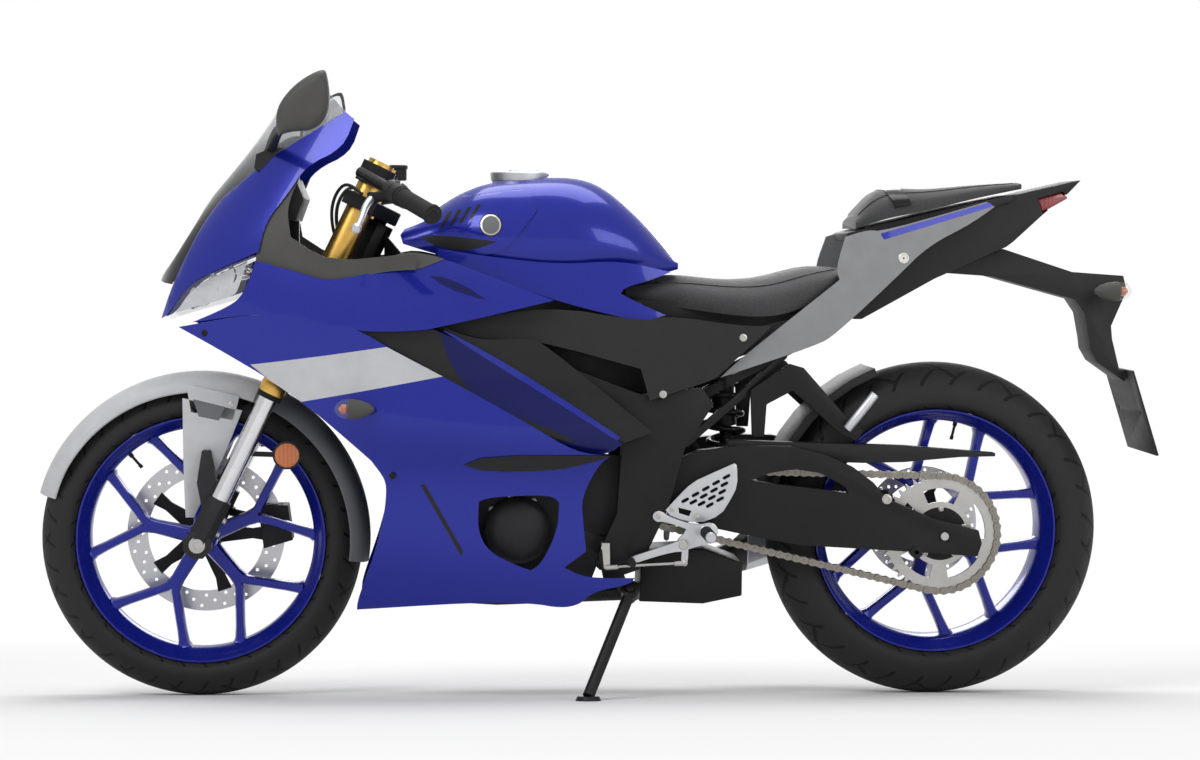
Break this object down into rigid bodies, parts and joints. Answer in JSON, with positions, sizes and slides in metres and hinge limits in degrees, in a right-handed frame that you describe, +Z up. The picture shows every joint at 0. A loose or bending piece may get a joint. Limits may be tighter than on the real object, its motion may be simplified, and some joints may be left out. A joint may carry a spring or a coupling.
{
  "type": "sport bike",
  "caption": "Fully faired sport motorcycle leaning on its side stand, with steering, turning wheels, hinged fuel cap, folding side stand and folding pillion footrests.",
  "frame": {"origin": "middle of the bounding box's base, on the ground", "axes": "-X to the front, +Y to the bike's right, +Z up; the bike leans 8 degrees to its left"},
  "size_m": [2.0962, 0.7472, 1.1911],
  "materials": {
    "tyre": "satin black rubber",
    "body_blue": "deep metallic blue, gloss",
    "liner_blue": "dark blue, satin",
    "silver_panel": "matte silver grey",
    "black_gloss": "gloss black",
    "black_plastic": "textured black",
    "black_metal": "satin black",
    "gold": "gold anodised",
    "chrome": "polished",
    "aluminium": "machined",
    "disc_steel": "ground",
    "chain_steel": "plated",
    "seat": "grained black",
    "clear_screen": "lightly smoked, clear",
    "lamp_glass": "clear lens",
    "red_lens": "red lens",
    "orange_lens": "orange lens",
    "rubber": "matte"
  },
  "bodies": {
    "chassis": {"chain": "chain_steel", "rear_axle": "aluminium", "frame": "black_metal", "engine": "black_metal", "engine_covers": "black_metal", "radiator": "black_metal", "exhaust": "black_metal", "swingarm": "black_metal", "shock_absorber": "aluminium", "chain_guard": "black_plastic", "rear_mudguard": "black_plastic", "rear_caliper": "black_metal", "footrest_brackets": "aluminium", "foot_controls": "aluminium", "pillion_brackets": "black_metal", "front_cowl": "body_blue", "windscreen": "clear_screen", "headlights": "lamp_glass", "upper_fairings": "body_blue", "side_fairings": "body_blue", "lower_fairings": "body_blue", "fairing_liners": "liner_blue", "frame_covers": "black_gloss", "side_covers": "black_plastic", "fuel_tank": "body_blue", "tank_covers": "body_blue", "rider_seat": "seat", "pillion_seat": "seat", "tail_panels": "silver_panel", "tail_unit": "black_plastic", "tail_light": "red_lens", "plate_hanger": "black_plastic", "indicators": "black_plastic", "cockpit_trim": "black_plastic", "instrument_panel": "black_gloss", "mirrors": "black_plastic"},
    "steering": {"fork_crowns": "black_metal", "fork_outer_tubes": "gold", "fork_legs": "chrome", "fork_bottoms": "black_metal", "front_axle": "aluminium", "front_fender": "silver_panel", "front_caliper": "black_metal", "handlebars": "black_metal", "grips": "rubber", "levers": "black_metal", "fork_reflectors": "orange_lens"},
    "front_wheel": {"front_rim": "body_blue", "front_tyre": "tyre", "front_disc": "disc_steel"},
    "rear_wheel": {"rear_rim": "body_blue", "rear_tyre": "tyre", "rear_disc": "disc_steel", "rear_sprocket": "disc_steel"},
    "cap": {"fuel_cap": "aluminium"},
    "stand": {"side_stand": "black_metal"},
    "pillion_peg_left": {"pillion_footrest_left": "aluminium"},
    "pillion_peg_right": {"pillion_footrest_right": "aluminium"}
  },
  "joints": [
    {"name": "steering_stem", "type": "hinge", "parent": "chassis", "child": "steering", "pos_m": [-0.50888, 0.04506, 0.69863], "axis": [0.4305, -0.1256, 0.8938], "range_deg": [-30, 30]},
    {"name": "front_wheel_spin", "type": "hinge", "parent": "steering", "child": "front_wheel", "pos_m": [-0.74722, 0.10167, 0.29581], "axis": [0, 0.9903, 0.1392], "continuous": true},
    {"name": "rear_wheel_spin", "type": "hinge", "parent": "chassis", "child": "rear_wheel", "pos_m": [0.63278, 0.09889, 0.31562], "axis": [0, 0.9903, 0.1392], "continuous": true},
    {"name": "fuel_cap_hinge", "type": "hinge", "parent": "chassis", "child": "cap", "pos_m": [-0.21326, 0.00679, 0.97093], "axis": [0, -0.9903, -0.1392], "range_deg": [0, 100]},
    {"name": "side_stand_pivot", "type": "hinge", "parent": "chassis", "child": "stand", "pos_m": [0.04865, -0.01144, 0.19525], "axis": [-0.1003, -0.8794, 0.4654], "range_deg": [0, 90]},
    {"name": "pillion_peg_left_pivot", "type": "hinge", "parent": "chassis", "child": "pillion_peg_left", "pos_m": [0.44723, -0.05702, 0.49373], "axis": [0.7863, 0.086, -0.6118], "range_deg": [0, 90]},
    {"name": "pillion_peg_right_pivot", "type": "hinge", "parent": "chassis", "child": "pillion_peg_right", "pos_m": [0.44723, 0.19966, 0.5298], "axis": [-0.7863, -0.086, 0.6118], "range_deg": [0, 90]}
  ]
}
